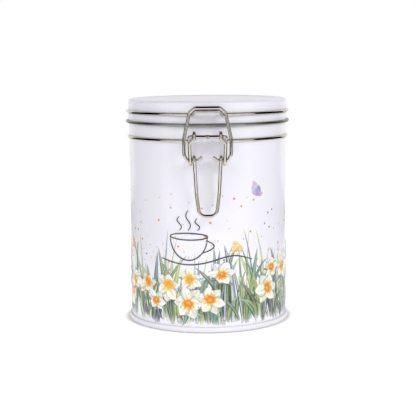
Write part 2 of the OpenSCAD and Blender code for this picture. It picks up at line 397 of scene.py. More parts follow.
def body_wire_route():
    """Lever bar, down to the ring, round the tin, and out to the hinge bar."""
    front_x, front_foot_x, front_ring_x, back_x, back_ring_x = 11.8, 11.5, 15, 10, 13.6
    z = BODY_WIRE_Z
    front = rounded([(0.04, *LEVER_BAR), (front_x, *LEVER_BAR),
                     off_ring(BODY_RING_R, front_ring_x, front_foot_x, -1, z),
                     on_ring(BODY_RING_R, front_ring_x, -1, z)], [1.9, 2])
    ring = ring_arc(BODY_RING_R, z, math.asin(front_ring_x / BODY_RING_R) - math.pi / 2,
                    math.pi / 2 - math.asin(back_ring_x / BODY_RING_R))
    back = rounded([on_ring(BODY_RING_R, back_ring_x, 1, z),
                    off_ring(BODY_RING_R, back_ring_x, back_x, 1, z),
                    (back_x, *HINGE), (0, *HINGE)], [2, 2])
    return both_halves(front + ring + back)


def lid_wire_route():
    """Eyes on the hinge bar, round the lid, and out to the catch bar."""
    catch_x, foot_x, front_ring_x, eye_x, back_ring_x = 8.2, 9.4, 13, 6.2, 9.6
    wrap = math.radians(285)
    z = LID_WIRE_Z
    knee = off_ring(LID_RING_R, back_ring_x, eye_x, 1, z)
    to_hinge = Vector((HINGE[0] - knee.y, HINGE[1] - knee.z))
    slope = math.atan2(to_hinge.y, to_hinge.x) + math.asin(EYE_R / to_hinge.length)
    leg = math.sqrt(to_hinge.length_squared - EYE_R ** 2)
    leg_end = knee + leg * Vector((0, math.cos(slope), math.sin(slope)))
    eye = eye_arc(eye_x, HINGE, slope + math.pi / 2 - wrap, slope + math.pi / 2)
    back = rounded([leg_end, knee, on_ring(LID_RING_R, back_ring_x, 1, z)], [2])
    ring = ring_arc(LID_RING_R, z, math.pi / 2 - math.asin(back_ring_x / LID_RING_R),
                    math.asin(front_ring_x / LID_RING_R) - math.pi / 2)
    front = rounded([on_ring(LID_RING_R, front_ring_x, -1, z),
                     off_ring(LID_RING_R, front_ring_x, foot_x, -1, z),
                     (catch_x, *CATCH), (0, *CATCH)], [2, 2])
    return both_halves(eye + back + ring + front)


def lever_route():
    """Eyes on the body wire's bar, arms, two coils and the handle."""
    eye_x, arm_x, outer_x, inner_x, kink_x, tip_x = 8.4, 11.4, 10.9, 8.5, 7.2, 5.4
    tip_out, kink_down = 8.4, 21.6
    wrap = math.radians(230)
    half = [(eye_x, -EYE_R, LINK), (eye_x, -EYE_R, LINK - 0.85), (arm_x, -EYE_R, LINK - 3.8),
            (outer_x, -EYE_R, -EYE_R), (outer_x, EYE_R, -EYE_R), (inner_x, EYE_R, EYE_R),
            (inner_x, -EYE_R, EYE_R), (kink_x, -EYE_R, -kink_down), (tip_x, -tip_out, -HANDLE_LEN),
            (0, -tip_out, -HANDLE_LEN)]
    eye = eye_arc(eye_x, (0, LINK), math.pi - wrap, math.pi)
    route = both_halves(eye + rounded(half, [1.6, 1.6, EYE_R, EYE_R, EYE_R, EYE_R, 5, 4.6]))
    return moved(route, COIL, LINK_TILT)


def bail_route():
    """Pins in the lever's coils, and the loop up to its top bar."""
    pin_x, foot_x, widest_x, shoulder_x, top_x = 12.9, 14.9, 15.1, 11.3, 7.9
    half = [(3.2, 0, 2.1), (6.2, 0, 0), (pin_x, 0, 0), (foot_x, 0, 3.6), (widest_x, 0, 13.1),
            (shoulder_x, 0, BAIL_LEN - 2.9), (top_x, 0, BAIL_LEN), (0, 0, BAIL_LEN)]
    route = both_halves(rounded(half, [2, 2.2, 6, 14, 3, 2.6]))
    lean = math.atan2(COIL[0] - BAIL_TOP[0], BAIL_TOP[1] - COIL[1])
    return moved(route, COIL, lean)


def node_group(name, inputs):
    """A geometry node group with further inputs, its input node and its output node."""
    tree = bpy.data.node_groups.new(name, "GeometryNodeTree")
    for label, kind in (("Geometry", "Geometry"), *inputs):
        tree.interface.new_socket(label, in_out="INPUT", socket_type="NodeSocket" + kind)
    tree.interface.new_socket("Geometry", in_out="OUTPUT", socket_type="NodeSocketGeometry")
    return tree, tree.nodes.new("NodeGroupInput"), tree.nodes.new("NodeGroupOutput")


def wire_tree():
    """Geometry nodes that draw a wire of a given diameter along a chain of edges."""
    tree, given, result = node_group("draw_wire", (
        ("Diameter", "Float"), ("Sides", "Int"), ("Metal", "Material")))
    chain = tree.nodes.new("GeometryNodeMeshToCurve")
    outline = tree.nodes.new("GeometryNodeCurvePrimitiveCircle")
    halve = add_node(tree, "ShaderNodeMath", operation="DIVIDE")
    halve.inputs[1].default_value = 2
    sweep = add_node(tree, "GeometryNodeCurveToMesh")
    sweep.inputs["Fill Caps"].default_value = True
    realize = tree.nodes.new("GeometryNodeRealizeInstances")
    metal = tree.nodes.new("GeometryNodeSetMaterial")
    join(tree,
         (given, "Geometry", chain, "Mesh"),
         (given, "Diameter", halve, 0),
         (halve, 0, outline, "Radius"),
         (given, "Sides", outline, "Resolution"),
         (chain, "Curve", sweep, "Curve"),
         (outline, "Curve", sweep, "Profile Curve"),
         (sweep, "Mesh", realize, "Geometry"),
         (realize, "Geometry", metal, "Geometry"),
         (given, "Metal", metal, "Material"),
         (metal, "Geometry", result, "Geometry"))
    return tree


def evaluated_piece(source, tree, inputs):
    """Runs a node tree on a piece, with inputs by socket name, and leaves a plain mesh."""
    modifier = source.modifiers.new(tree.name, "NODES")
    modifier.node_group = tree
    sockets = {s.name: s.identifier for s in tree.interface.items_tree if s.in_out == "INPUT"}
    for name, value in inputs.items():
        modifier[sockets[name]] = value
    bpy.context.view_layer.update()
    evaluated = source.evaluated_get(bpy.context.evaluated_depsgraph_get())
    mesh = bpy.data.meshes.new_from_object(evaluated)
    source.modifiers.clear()
    mesh.name = source.name
    source.data = mesh


def drawn_wire(name, route, metal, tree):
    """A wire along a route given in millimetres."""
    route = [p for i, p in enumerate(route) if i == 0 or (p - route[i - 1]).length > 0.01]
    mesh = bpy.data.meshes.new(name)
    mesh.from_pydata([p * MM for p in route], [(i, i + 1) for i in range(len(route) - 1)], [])
    piece = bpy.data.objects.new(name, mesh)
    bpy.context.scene.collection.objects.link(piece)
    evaluated_piece(piece, tree, {"Diameter": WIRE * MM, "Sides": WIRE_SIDES, "Metal": metal})
    piece.data.shade_smooth()
    piece.data.set_sharp_from_angle(angle=math.radians(50))
    face_out(piece)
    return piece


# ---- Sheet metal pieces ---------------------------------------------------

BODY_MID_R = WALL_R - HALF
SKIRT_MID_R = SKIRT_R - HALF
NECK_MID_R = BODY_MID_R - 1.2
CARRIER_R = 48.2
CARRIER_Z = TIN_H - 0.98


def side_seam(angle, z):
    """How far the welded lap stands out at the back of the wall."""
    rise, half, fade = 0.16, 2.4, 0.5
    across = abs(angle - math.pi / 2) * WALL_R
    return rise * max(0, min(1, (half - across) / fade)) if SEAM_H < z < SHOULDER_Z - 1 else 0


def make_body_shell(white, inside):
    """Wall from its hooked foot, round the wire's groove and the neck, to the rolled rim."""
    hook_gap, hook_top, hook_bend, curl, neck_turn = 0.75, 2.5, 0.95, 0.62, 0.55
    path = [(BODY_MID_R + hook_gap, hook_top)]
    path += arc((BODY_MID_R + hook_gap / 2, hook_bend), hook_gap / 2, 0, -180, 8)
    path += [(BODY_MID_R, 4.2), (BODY_MID_R, 4.6)]
    path += groove(BODY_RING_R, BODY_MID_R, BODY_WIRE_Z)
    path += arc((BODY_MID_R - neck_turn, SHOULDER_Z), neck_turn, 0, 90, 8)
    path += arc((NECK_MID_R + neck_turn, SHOULDER_Z + 2 * neck_turn), neck_turn, 270, 180, 8)
    path += arc((NECK_MID_R - curl, RIM_Z - curl - HALF), curl, 0, 290, 24)
    return spun_sheet("body_wall", path, [white, inside],
                      lambda side, r, z: 0 if side == "right" and z < SHOULDER_Z + 0.3 else 1,
                      turns=256, lift=side_seam)


def make_base(white, inside):
    """Recessed, beaded base panel, turned down and rolled up outside the wall."""
    inner = BODY_MID_R - SHEET - 0.05
    outer = SEAM_R - HALF
    corner, top_turn, panel_turn, bead_r = 0.5, 0.55, 1, 34
    panel_z = BASE_LIFT - HALF
    path = [(0, panel_z), (bead_r - 2.2, panel_z)]
    path += [(bead_r - 1.2, panel_z - 0.25), (bead_r, panel_z - 0.4),
             (bead_r + 1.2, panel_z - 0.25), (bead_r + 2.2, panel_z)]
    path += arc((inner - panel_turn, panel_z - panel_turn), panel_turn, 90, 0, 6)
    path += arc((inner + corner, HALF + corner), corner, 180, 270, 8)
    path += arc((outer - corner, HALF + corner), corner, 270, 360, 8)
    path += arc((outer - top_turn, SEAM_H - HALF - top_turn), top_turn, 0, 140, 10)
    return spun_sheet("base_end", path, [white, inside],
                      lambda side, r, z: 0 if side == "right" and r > inner else 1, turns=256)


def make_lid(white, bare):
    """Lid from its stepped panel, down the skirt and its groove, to the bare rolled edge."""
    edge_turn, step, step_turn, roll, panel_r = 2, 0.4, 0.6, 0.865, 45
    panel_z = TIN_H - HALF - step
    step_a = math.degrees(math.acos(1 - step / 2 / step_turn))
    step_w = step_turn * math.sin(math.radians(step_a))
    path = [(0, panel_z)]
    path += arc((panel_r, panel_z + step_turn), step_turn, 270, 270 + step_a, 6)
    path += arc((panel_r + 2 * step_w, TIN_H - HALF - step_turn), step_turn, 90 + step_a, 90, 6)
    path += arc((SKIRT_MID_R - edge_turn, TIN_H - HALF - edge_turn), edge_turn, 90, 0, 16)
    path += list(reversed(groove(LID_RING_R, SKIRT_MID_R, LID_WIRE_Z)))
    path += arc((SKIRT_MID_R + roll, CURL_Z), roll, 180, 510, 32)
    return spun_sheet("lid_cover", path, [white, bare],
                      lambda side, r, z: 0 if side == "left" and z > CURL_Z + 0.35 else 1, turns=256)


def make_seal_carrier(inside):
    """Pressed pan under the lid's panel that holds the seal."""
    turn, pan_z = 0.45, RIM_Z + 0.4
    path = [(0, pan_z)]
    path += arc((CARRIER_R - turn, pan_z + turn), turn, 270, 360, 6)
    path += arc((CARRIER_R + turn, CARRIER_Z - turn), turn, 180, 90, 6)
    path += [(SKIRT_MID_R - 1.25, CARRIER_Z)]
    return spun_sheet("lid_liner", path, [inside], lambda side, r, z: 0)


def make_seal(rubber):
    """Seal ring with two soft lips on its underside."""
    inner, outer = CARRIER_R + HALF + 0.3, SKIRT_MID_R - 1.05
    low, high, lip = RIM_Z + 0.1, CARRIER_Z - HALF - 0.05, 0.35
    profile = arc((outer - lip, low + lip), lip, 270, 360, 6) + [(outer, high), (inner, high)]
    profile += arc((inner + lip, low + lip), lip, 180, 270, 6)
    turns = 192
    vertices = [(r * math.cos(2 * math.pi * k / turns), r * math.sin(2 * math.pi * k / turns), z)
                for r, z in profile for k in range(turns)]
    piece = make_piece("seal_lip_ring", vertices, tube_faces(len(profile), turns, True), [rubber])
    face_out(piece)
    return piece


def make_butt_weld(metal):
    """Small lump of weld where the body wire's ends meet in the lever's bar."""
    turns, reach = 20, 1.3
    profile = [(0.02 if abs(f) == 1 else WIRE / 2 + 0.16 * (1 - f * f) ** 0.5 - 0.03, f * reach)
               for f in (-1, -0.97, -0.8, -0.5, -0.2, 0, 0.2, 0.5, 0.8, 0.97, 1)]
    rng = random.Random(2)
    vertices = []
    for r, along in profile:
        for k in range(turns):
            angle = 2 * math.pi * k / turns
            out = r + (rng.uniform(-0.06, 0.07) if abs(along) < reach * 0.9 else 0)
            vertices.append((along, LEVER_BAR[0] + out * math.cos(angle), LEVER_BAR[1] + out * math.sin(angle)))
    faces = tube_faces(len(profile), turns, False)
    faces += [tuple(range(turns)), tuple(reversed(range(len(vertices) - turns, len(vertices))))]
    piece = make_piece("bar_weld", vertices, faces, [metal], crease=math.radians(80))
    face_out(piece)
    return piece


# ---- Painted meadow -------------------------------------------------------

def linear(*rgb):
    """Linear colour from a painter's 0 to 255 values."""
    return tuple((c / 255 / 12.92) if c <= 10 else ((c / 255 + 0.055) / 1.055) ** 2.4 for c in rgb)


def blend(a, b, t):
    return tuple(x + (y - x) * t for x, y in zip(a, b))


WHITE = linear(240, 239, 245)
PETAL_WHITE = linear(252, 252, 250)
GREENS = [linear(*c) for c in ((116, 144, 31), (130, 163, 86), (74, 116, 49), (70, 127, 92),
                               (172, 189, 51), (55, 102, 118), (55, 90, 60), (149, 171, 44))]
DEEP = [linear(*c) for c in ((34, 60, 39), (27, 63, 82), (60, 79, 24), (30, 49, 32))]
PALE = [linear(*c) for c in ((164, 190, 127), (142, 179, 145), (186, 199, 112), (130, 164, 119))]
BURIED = -0.04                         # underside of the ink, inside the sheet


class Ink:
    """Strokes laid on the wall as thin closed slabs. along is arc length from the front."""

    def __init__(self):
        self.vertices, self.faces, self.colours = [], [], []

    def point(self, along, up, lift, colour):
        angle = along / WALL_R
        r = WALL_R + lift
        self.vertices.append((r * math.sin(angle), -r * math.cos(angle), up))
        self.colours.append(colour)
        return len(self.vertices) - 1

    def slab(self, rows, lift):
        """rows of (along, up, colour), each row running left to right and the rows going up."""
        top = [[self.point(a, u, lift, c) for a, u, c in row] for row in rows]
        low = [[self.point(a, u, BURIED, c) for a, u, c in row] for row in rows]
        last, wide = len(rows) - 1, len(rows[0]) - 1
        for i in range(last):
            for j in range(wide):
                self.faces.append((top[i][j], top[i][j + 1], top[i + 1][j + 1], top[i + 1][j]))
                self.faces.append((low[i][j], low[i + 1][j], low[i + 1][j + 1], low[i][j + 1]))
        edge = [(0, j) for j in range(wide)] + [(i, wide) for i in range(last)]
        edge += [(last, j) for j in range(wide, 0, -1)] + [(i, 0) for i in range(last, 0, -1)]
        self.wall(edge, top, low)

    def wall(self, edge, top, low):
        for n, (i, j) in enumerate(edge):
            k, m = edge[(n + 1) % len(edge)]
            self.faces.append((top[i][j], low[i][j], low[k][m], top[k][m]))

    def disc(self, place, rings, count, lift):
        """rings of (radius, colour), each as a function of angle, from the middle out."""
        middle = self.point(*place(0, 0), lift, rings[0][1](0))
        below = self.point(*place(0, 0), BURIED, rings[0][1](0))
        top, low = [], []
        for radius, colour in rings:
            for stack, height in ((top, lift), (low, BURIED)):
                stack.append([])
                for k in range(count):
                    t = 2 * math.pi * k / count
                    spot = place(radius(t) * math.cos(t), radius(t) * math.sin(t))
                    stack[-1].append(self.point(*spot, height, colour(t)))
        for k in range(count):
            n = (k + 1) % count
            self.faces.append((middle, top[0][k], top[0][n]))
            self.faces.append((below, low[0][n], low[0][k]))
            for i in range(len(rings) - 1):
                self.faces.append((top[i][k], top[i + 1][k], top[i + 1][n], top[i][n]))
                self.faces.append((low[i][k], low[i][n], low[i + 1][n], low[i + 1][k]))
            self.faces.append((top[-1][k], low[-1][k], low[-1][n], top[-1][n]))

    def made(self, name, material):
        piece = make_piece(name, self.vertices, self.faces, [material], crease=math.radians(60))
        attribute = piece.data.color_attributes.new(PAINT, "FLOAT_COLOR", "POINT")
        attribute.data.foreach_set("color", [v for c in self.colours for v in (*c, 1)])
        return piece


def curve_point(a, b, c, t):
    """Point and direction on a three-point curve."""
    place = tuple((1 - t) ** 2 * p + 2 * t * (1 - t) * q + t * t * r for p, q, r in zip(a, b, c))
    run = tuple(2 * (1 - t) * (q - p) + 2 * t * (r - q) for p, q, r in zip(a, b, c))
    length = math.hypot(*run) or 1
    return place, (run[0] / length, run[1] / length)


def blade(ink, rng, root, tall, lean, wide, colour, shade, lift, droop=0.0, steps=12):
    """One brushed leaf: ragged at the foot, full below the middle, fine at the tip."""
    tip = (root[0] + lean, root[1] + tall * (1 - droop))
    knee = (root[0] + lean * rng.uniform(-0.2, 0.3), root[1] + tall * (rng.uniform(0.45, 0.65) + droop))
    fold = rng.uniform(0.3, 0.7)
    swell = rng.uniform(2.2, 4.5)
    pool = rng.uniform(0.35, 1)
    dry = rng.choice((0.2, 0.3, 0.35, 0.75))
    rows = []
    for i in range(steps + 1):
        t = i / steps
        (along, up), run = curve_point(root, knee, tip, t)
        half = wide / 2 * (1 - t) ** 0.6 * (0.40 + 0.60 * min(1, t * swell)) + 0.03
        wash = blend(WHITE, colour, min(1, 0.35 + t * 6))
        wash = blend(wash, blend(colour, WHITE, 0.3), max(0, t - 0.55) * 2)
        dark = blend(wash, shade, pool * 0.9 * (1 - t) ** 1.1 * min(1, 0.3 + t * 5) + 0.10)
        light = blend(wash, WHITE, dry)
        row = []
        for f, tone in ((-1, dark), (-1 + 0.5 * fold, dark), (-1 + fold, wash),
                        (-1 + 1.6 * fold, light), (1, wash)):
            row.append((along + run[1] * half * f, up - run[0] * half * f, tone))
        rows.append(row)
    ink.slab(rows, lift)


CREAM, LEMON, AMBER, ORANGE, RUST, OLIVE = (linear(*c) for c in (
    (250, 244, 212), (250, 226, 96), (252, 190, 44), (244, 146, 26), (214, 96, 20), (150, 148, 40)))
PETAL_EDGE, PETAL_SHADE, PETAL_VEIN = linear(124, 140, 116), linear(184, 194, 176), linear(176, 190, 132)


def facing(centre, axis, squeeze):
    """Maps a bloom's own flat plane to the wall, narrowed across one axis as it turns away."""
    ca, sa = math.cos(axis), math.sin(axis)

    def place(x, y):
        long, short = x * ca + y * sa, (y * ca - x * sa) * squeeze
        return centre[0] + long * ca - short * sa, centre[1] + long * sa + short * ca
    return place


def petal(ink, place, angle, length, wide, tint, curl, shade, lift, pale=0.8):
    """One broad pointed petal, yellow at its foot, paler beyond, shaded along one side."""
    rows = []
    ca, sa = math.cos(angle), math.sin(angle)
    for i in range(11):
        t = i / 10
        half = wide / 2 * max(0.04, math.sin(math.pi * (0.16 + 0.84 * t) ** 1.1)) ** 0.8
        reach = length * (0.10 + 0.90 * t)
        body = blend(blend(LEMON, tint, min(1, 0.25 + t * 2.2)), PETAL_WHITE, min(1, pale * (0.19 + t)))
        body = blend(body, PETAL_SHADE, shade)
        hollow = blend(body, PETAL_SHADE, 0.6 + 0.4 * (1 - t))
        tones = (blend(PETAL_EDGE, body, 0.2 * t), hollow, body, blend(body, PETAL_VEIN, 0.7 * (1 - t) + 0.1),
                 blend(body, PETAL_WHITE, 0.5), body, blend(PETAL_EDGE, body, 0.55))
        row = []
        for f, tone in zip((-1, -0.84, -0.4, 0, 0.2, 0.88, 1), tones):
            side = f * half + curl * t * t
            row.append((*place(reach * ca + side * sa, reach * sa - side * ca), tone))
        rows.append(row)
    ink.slab(rows, lift)


def trumpet(ink, rng, centre, cup, lift):
    """The frilled cup in a bloom's middle, opening towards one side, its throat set back."""
    aim = rng.uniform(-math.pi, math.pi)
    lean = cup * rng.uniform(0.15, 0.6)
    run = (math.cos(aim), math.sin(aim))
    mouth = (centre[0] + lean * run[0], centre[1] + lean * run[1])
    turned = facing(mouth, aim + math.pi / 2, 1 - 0.55 * lean / cup)
    phase, other = rng.uniform(0, 6), rng.uniform(0, 6)
    tube = []
    for i in range(5):
        t = i / 4
        half = cup * (0.55 + 0.38 * t)
        back = lean * (t - 0.5) * 1.6
        spot = (centre[0] + back * run[0], centre[1] + back * run[1])
        tube.append([(spot[0] - f * half * run[1], spot[1] + f * half * run[0], tone)
                     for f, tone in ((-1, ORANGE), (-0.3, AMBER), (0.4, LEMON), (1, AMBER))])
    ink.slab([list(reversed(row)) for row in tube], lift)

    def place(x, y):
        deep = max(0, 1 - math.hypot(x, y) / cup) * lean * 0.9
        along, up = turned(x, y)
        return along - deep * run[0], up - deep * run[1]

    def frill(share, wave):
        return lambda t: cup * share * (1 + wave * math.sin(7 * t + phase)
                                        + wave * 0.8 * math.sin(11 * t + other) + wave * 0.5 * math.sin(17 * t))

    def streaks(a, b):
        return lambda t: blend(a, b, 0.5 + 0.3 * math.sin(5 * t + other) + 0.2 * math.sin(13 * t + phase))

    heart = rng.choice((RUST, OLIVE, OLIVE, ORANGE))
    inner, outer = rng.choice(((ORANGE, RUST), (AMBER, ORANGE), (ORANGE, RUST)))
    rings = [(frill(0.14, 0), streaks(LEMON, heart)), (frill(0.34, 0.03), streaks(heart, inner)),
             (frill(0.52, 0.05), streaks(outer, inner)), (frill(0.70, 0.06), streaks(AMBER, outer)),
             (frill(0.84, 0.07), streaks(LEMON, inner)), (frill(0.94, 0.08), streaks(inner, AMBER)),
             (frill(1, 0.09), streaks(RUST, AMBER))]
    ink.disc(place, rings, 40, lift + 0.004)


def flower(ink, rng, centre, size, lift):
    """A narcissus turned a little away: six broad petals and a frilled trumpet."""
    turn, axis = rng.uniform(0, math.pi / 3), rng.uniform(0, math.pi)
    place = facing(centre, axis, rng.uniform(0.68, 1))
    tint = rng.choice((PETAL_WHITE, CREAM, CREAM, blend(LEMON, CREAM, 0.6)))
    for n, k in enumerate((0, 2, 4, 1, 3, 5)):
        angle = turn + k * math.pi / 3 + rng.uniform(-0.16, 0.16)
        petal(ink, place, angle, size * rng.uniform(0.82, 1.1), size * rng.uniform(0.66, 0.88), tint,
              size * rng.uniform(-0.16, 0.16), 0.35 if n < 3 else 0.0, lift + 0.003 * n)
    trumpet(ink, rng, centre, size * rng.uniform(0.36, 0.43), lift + 0.02)


def line_stroke(ink, points, wide, colour, lift):
    """A pen line through points, thinner at its ends."""
    rows = []
    for i, (along, up) in enumerate(points):
        a, b = points[max(i - 1, 0)], points[min(i + 1, len(points) - 1)]
        run = (b[0] - a[0], b[1] - a[1])
        length = math.hypot(*run)
        half = wide / 2 * (0.55 + 0.45 * math.sin(math.pi * i / (len(points) - 1)) ** 0.5)
        rows.append([(along + run[1] / length * half * f, up - run[0] / length * half * f, colour)
                     for f in (-1, 1)])
    ink.slab(rows, lift)


def nodding_flower(ink, rng, root, side, lift):
    """A yellow bloom seen from its side, hanging on a thin bent stem."""
    tall = rng.uniform(14, 24)
    blade(ink, rng, root, tall, side * 6, 1.3, GREENS[3], DEEP[0], lift, steps=8)
    hang = math.radians(-90 + side * rng.uniform(25, 80))
    place = facing((root[0] + side * 5.6, root[1] + tall - 0.5), 0, 1)
    for k, spread in enumerate((-1.0, -0.4, 0.4, 1.0)):
        petal(ink, place, hang + spread, 5.6, 2.6, AMBER, 0.4, 0, lift + 0.003 * (k + 1), pale=0.25)
    petal(ink, place, hang, 7.4, 3.4, AMBER, 0, 0, lift + 0.02, pale=0.1)
    throat = [place(reach * math.cos(hang), reach * math.sin(hang)) for reach in (2, 6)]
    line_stroke(ink, throat, 1.7, ORANGE, lift + 0.026)


ROUND_WALL = 2 * math.pi * WALL_R


def painted_leaves(material):
    """Clumps of leaves all the way round, tall and pale behind, short and dark in front."""
    rng = random.Random(11)
    ink = Ink()
    # clumps, leaves in each, shortest, tallest, fan, width, colours, lowest layer
    sorts = ((24, 3, 40, 74, 8, (1.0, 2.6), PALE + GREENS[:4], 0.015),
             (30, 5, 34, 56, 17, (3.2, 6.6), GREENS, 0.045),
             (27, 5, 15, 34, 13, (2.8, 5.8), GREENS[:4] + DEEP, 0.085))
    for clumps, leaves, low, high, fan, width, colours, layer in sorts:
        shift = [rng.uniform(-0.3, 0.3) for _ in range(clumps)]
        for i in range(clumps * leaves):
            clump = i % clumps
            middle = (clump + 0.5 + shift[clump]) / clumps * ROUND_WALL - ROUND_WALL / 2
            spread = rng.uniform(-1, 1)
            tuft = 0.86 + 0.14 * math.sin(middle / 9.5) * math.cos(middle / 23)
            blade(ink, rng, (middle + spread * 4.2, rng.uniform(4.2, 8.4)), rng.uniform(low, high) * tuft,
                  spread * fan + rng.gauss(0, fan / 4), rng.uniform(*width), rng.choice(colours),
                  rng.choice(DEEP), layer + 0.001 * (i * 7 % 29), droop=rng.choice((0, 0, 0.05, 0.2)))
    return ink.made("print_leaves", material)


def painted_flowers(material):
    """Blooms strewn over the leaves on dark strokes that set them off, and nodding ones between."""
    rng = random.Random(16)
    ink = Ink()
    placed = []
    while len(placed) < 25:
        spot = (rng.uniform(-ROUND_WALL / 2, ROUND_WALL / 2), rng.uniform(19, 41))
        if all(math.dist(spot, other) > 12.8 for other in placed):
            placed.append(spot)
    for i, spot in enumerate(placed):
        size = rng.uniform(8.8, 11.2)
        layer = 0.125 + 0.026 * (i % 4)
        for k in range(6):
            run = 2 * math.pi * (k + rng.uniform(0, 0.7)) / 6
            root = (spot[0] + 3 * math.cos(run), spot[1] + 3 * math.sin(run) - 3)
            blade(ink, rng, root, size * rng.uniform(0.75, 1.0) * math.sin(run) - 1, size * 0.7 * math.cos(run),
                  rng.uniform(2.6, 4.6), rng.choice(GREENS[2:4] + GREENS[5:7] + DEEP), rng.choice(DEEP),
                  layer - 0.010 + 0.001 * k, steps=6)
        flower(ink, rng, spot, size, layer)
    for i in range(8):
        root = (ROUND_WALL * (i + rng.uniform(-0.2, 0.2)) / 8 + 31 - ROUND_WALL / 2, rng.uniform(34, 40))
        behind_cup = -36 < root[0] < 14
        if not behind_cup:
            nodding_flower(ink, rng, root, rng.choice((-1, 1)), 0.12)
    return ink.made("print_blooms", material)


def painted_butterfly(material):
    """A small lilac butterfly, wings up."""
    ink = Ink()
    centre = (35, 88.5)
    lilac, violet, rose = linear(190, 182, 222), linear(128, 120, 190), linear(226, 178, 212)
    for angle, length, wide, tint, lift in ((112, 10.5, 5.2, rose, 0.02), (128, 8, 5.4, lilac, 0.026),
                                            (84, 6.5, 4.6, violet, 0.03), (20, 4.4, 3.0, rose, 0.034)):
        rows = []
        for i in range(8):
            t = i / 7
            half = wide / 2 * max(0.03, math.sin(math.pi * (0.08 + 0.9 * t)) ** 0.8)
            a = math.radians(angle)
            tone = blend(violet, tint, min(1, t * 1.5))
            rows.append([(centre[0] + length * t * math.cos(a) + f * half * math.sin(a),
                          centre[1] + length * t * math.sin(a) - f * half * math.cos(a),
                          blend(tone, WHITE, 0.25 * abs(f) + 0.12)) for f in (-1, -0.4, 0.4, 1)])
        ink.slab(rows, lift)
    return ink.made("print_butterfly", material)


def painted_cup(material):
    """A cup, its steam and a saucer whose line runs on to the right, in one thin dark line."""
    ink = Ink()
    dark = linear(58, 58, 66)
    middle, foot, brim, half = -13, 47.5, 63, 12.5
    bowl = [(middle - half * math.cos(math.pi * t / 40) * (1 - 0.18 * math.sin(math.pi * t / 40)),
             brim - (brim - foot) * math.sin(math.pi * t / 40) ** 0.7) for t in range(41)]
    rim = [(middle - half * math.cos(2 * math.pi * t / 48), brim + 2.2 * math.sin(2 * math.pi * t / 48))
           for t in range(49)]
    ear = [(middle + half - 1 - 2.6 * t / 24 + 6.5 * math.sin(math.pi * t / 24) ** 0.8,
            brim - 2.5 - 8 * t / 24) for t in range(25)]
    saucer = [(middle - 19 + 38 * t / 32, foot + 0.5 - 3.4 * math.sin(math.pi * t / 32)) for t in range(33)]
    saucer += [(middle + 19 + t, foot + 0.5 + 2.2 * math.sin(1.15 * math.pi * t / 24)) for t in range(1, 25)]
    for n, points in enumerate((bowl, rim, ear, saucer)):
        line_stroke(ink, points, 0.8, dark, 0.24 + 0.004 * n)
    for n, (start, tall) in enumerate(((-6, 9), (0, 13), (6, 8))):
        steam = [(middle + start + 1.5 * math.sin(2 * math.pi * t / 20), brim + 4 + tall * t / 20)
                 for t in range(21)]
        line_stroke(ink, steam, 0.65, dark, 0.26 + 0.004 * n)
    return ink.made("print_cup", material)


def speck_tree():
    """Geometry nodes that strew round specks over a patch of wall and tint each at random."""
    tree, given, result = node_group("strew_specks", (
        ("Spacing", "Float"), ("Density", "Float"), ("Smallest", "Float"), ("Largest", "Float"),
        ("Seed", "Int"), ("Paint", "Material")))
    strew = add_node(tree, "GeometryNodeDistributePointsOnFaces", distribute_method="POISSON")
    speck = add_node(tree, "GeometryNodeMeshCylinder", fill_type="NGON")
    speck.inputs["Vertices"].default_value = 12
    speck.inputs["Radius"].default_value = 1
    speck.inputs["Depth"].default_value = 0.00012
    size = add_node(tree, "FunctionNodeRandomValue", data_type="FLOAT")
    shape = tree.nodes.new("ShaderNodeCombineXYZ")
    shape.inputs["Z"].default_value = 1
    place = tree.nodes.new("GeometryNodeInstanceOnPoints")
    pick = add_node(tree, "FunctionNodeRandomValue", data_type="FLOAT")
    tones = add_node(tree, "ShaderNodeValToRGB")
    tones.color_ramp.interpolation = "CONSTANT"
    palette = [linear(*c) for c in ((226, 184, 52), (210, 192, 84), (128, 134, 150), (232, 190, 62),
                                    (196, 196, 120), (104, 132, 130), (220, 184, 60), (234, 168, 50))]
    while len(tones.color_ramp.elements) < len(palette):
        tones.color_ramp.elements.new(0.5)
    for i, colour in enumerate(palette):
        tones.color_ramp.elements[i].position = i / len(palette)
        tones.color_ramp.elements[i].color = (*colour, 1)
    store = add_node(tree, "GeometryNodeStoreNamedAttribute", data_type="FLOAT_COLOR", domain="INSTANCE")
    store.inputs["Name"].default_value = PAINT
    realize = tree.nodes.new("GeometryNodeRealizeInstances")
    paint = tree.nodes.new("GeometryNodeSetMaterial")
    join(tree,
         (given, "Geometry", strew, "Mesh"),
         (given, "Spacing", strew, "Distance Min"),
         (given, "Density", strew, "Density Max"),
         (given, "Seed", strew, "Seed"),
         (given, "Smallest", size, 2),
         (given, "Largest", size, 3),
         (size, 1, shape, "X"),
         (size, 1, shape, "Y"),
         (strew, "Points", place, "Points"),
         (strew, "Rotation", place, "Rotation"),
         (speck, "Mesh", place, "Instance"),
         (shape, "Vector", place, "Scale"),
         (pick, 1, tones, "Fac"),
         (place, "Instances", store, "Geometry"),
         (tones, "Color", store, "Value"),
         (store, "Geometry", realize, "Geometry"),
         (realize, "Geometry", paint, "Geometry"),
         (given, "Paint", paint, "Material"),
         (paint, "Geometry", result, "Geometry"))
    return tree


def painted_specks(material):
    """Flicked paint over the meadow, strewn on a band of the wall."""
    low, high, turns = 40, 92, 96
    vertices = [(WALL_R * math.sin(2 * math.pi * k / turns), -WALL_R * math.cos(2 * math.pi * k / turns), z)
                for z in (low, high) for k in range(turns)]
    faces = [(k, (k + 1) % turns, turns + (k + 1) % turns, turns + k) for k in range(turns)]
    band = make_piece("print_specks", vertices, faces, [material])
    evaluated_piece(band, speck_tree(), {"Spacing": 4.4 * MM, "Density": 19000.0, "Smallest": 0.16 * MM,
                                         "Largest": 0.85 * MM, "Seed": 7, "Paint": material})
    return band


# ---- The tin --------------------------------------------------------------

